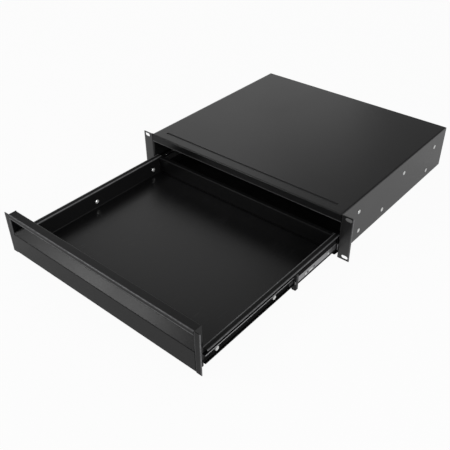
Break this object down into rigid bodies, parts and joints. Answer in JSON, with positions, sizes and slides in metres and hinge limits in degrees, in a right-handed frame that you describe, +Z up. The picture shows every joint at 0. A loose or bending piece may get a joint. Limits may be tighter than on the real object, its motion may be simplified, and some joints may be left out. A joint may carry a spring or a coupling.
{
  "type": "sliding rack drawer",
  "caption": "Black steel rack drawer, two units high, drawn out on ball-bearing slides from its flat case, with a finger-pull front panel and slotted rack ears.",
  "frame": {"origin": "Centre of the ear hole pattern, on the rear face of the rack ears, where the part meets the rack's front posts.", "axes": "+Z up; +Y into the rack, away from the front panel; +X to the right seen from the front."},
  "size_m": [0.4826, 0.7353, 0.088],
  "materials": {
    "black_powder_coat": "semi-gloss fine powder coat",
    "slide_steel": "zinc-plated rolled steel",
    "black_slide_steel": "black-coated steel, burnished along the flange edges",
    "cage_steel": "plain pressed steel",
    "ball_steel": "polished hardened steel",
    "zinc": "bright zinc plate",
    "black_plastic": "moulded plastic",
    "rubber": "moulded rubber"
  },
  "bodies": {
    "case": {"case_base": "black_powder_coat", "top_cover": "black_powder_coat", "left_cover_screws": "zinc", "left_cover_nuts": "zinc", "left_cabinet_screws": "zinc", "left_cabinet_member": "slide_steel", "left_rear_bumper": "rubber", "right_cover_screws": "zinc", "right_cover_nuts": "zinc", "right_cabinet_screws": "zinc", "right_cabinet_member": "slide_steel", "right_rear_bumper": "rubber"},
    "drawer": {"drawer_tray": "black_powder_coat", "tray_front_wall": "black_powder_coat", "tray_back_wall": "black_powder_coat", "front_panel": "black_powder_coat", "panel_screws": "zinc", "panel_nuts": "zinc", "left_panel_end_cap": "black_powder_coat", "left_drawer_member": "black_slide_steel", "left_drawer_screws": "zinc", "left_drawer_nuts": "zinc", "left_lever_rivet": "zinc", "right_panel_end_cap": "black_powder_coat", "right_drawer_member": "black_slide_steel", "right_drawer_screws": "zinc", "right_drawer_nuts": "zinc", "right_lever_rivet": "zinc"},
    "left_middle": {"left_middle_member": "slide_steel", "left_middle_stops": "zinc", "left_middle_bumper": "black_plastic"},
    "left_outer_cage": {"left_outer_cage": "cage_steel", "left_outer_balls": "ball_steel"},
    "left_inner_cage": {"left_inner_cage": "cage_steel", "left_inner_balls": "ball_steel"},
    "left_lever": {"left_release_lever": "black_plastic"},
    "right_middle": {"right_middle_member": "slide_steel", "right_middle_stops": "zinc", "right_middle_bumper": "black_plastic"},
    "right_outer_cage": {"right_outer_cage": "cage_steel", "right_outer_balls": "ball_steel"},
    "right_inner_cage": {"right_inner_cage": "cage_steel", "right_inner_balls": "ball_steel"},
    "right_lever": {"right_release_lever": "black_plastic"}
  },
  "joints": [
    {"name": "drawer_slide", "type": "slide", "parent": "case", "child": "drawer", "axis": [0, -1, 0], "range_m": [-0.3264, 0.0236]},
    {"name": "left_middle_slide", "type": "slide", "parent": "case", "child": "left_middle", "axis": [0, -1, 0], "range_m": [-0.11303, 0.00827]},
    {"name": "left_outer_cage_slide", "type": "slide", "parent": "case", "child": "left_outer_cage", "axis": [0, -1, 0], "range_m": [-0.05657, 0.00418]},
    {"name": "left_inner_cage_slide", "type": "slide", "parent": "case", "child": "left_inner_cage", "axis": [0, -1, 0], "range_m": [-0.21977, 0.01598]},
    {"name": "left_lever_hinge", "type": "hinge", "parent": "drawer", "child": "left_lever", "pos_m": [-0.2065, -0.0696, -0.025], "axis": [1, 0, 0], "range_deg": [-3, 0], "stiffness_Nm_per_rad": 0.02},
    {"name": "right_middle_slide", "type": "slide", "parent": "case", "child": "right_middle", "axis": [0, -1, 0], "range_m": [-0.11303, 0.00827]},
    {"name": "right_outer_cage_slide", "type": "slide", "parent": "case", "child": "right_outer_cage", "axis": [0, -1, 0], "range_m": [-0.05657, 0.00418]},
    {"name": "right_inner_cage_slide", "type": "slide", "parent": "case", "child": "right_inner_cage", "axis": [0, -1, 0], "range_m": [-0.21977, 0.01598]},
    {"name": "right_lever_hinge", "type": "hinge", "parent": "drawer", "child": "right_lever", "pos_m": [0.2065, -0.0696, -0.025], "axis": [1, 0, 0], "range_deg": [0, 3], "stiffness_Nm_per_rad": 0.02}
  ],
  "couplings": [
    {"joint": "left_middle_slide", "follows": "drawer_slide", "ratio": 0.346},
    {"joint": "left_outer_cage_slide", "follows": "drawer_slide", "ratio": 0.173},
    {"joint": "left_inner_cage_slide", "follows": "drawer_slide", "ratio": 0.673},
    {"joint": "right_middle_slide", "follows": "drawer_slide", "ratio": 0.346},
    {"joint": "right_outer_cage_slide", "follows": "drawer_slide", "ratio": 0.173},
    {"joint": "right_inner_cage_slide", "follows": "drawer_slide", "ratio": 0.673}
  ]
}
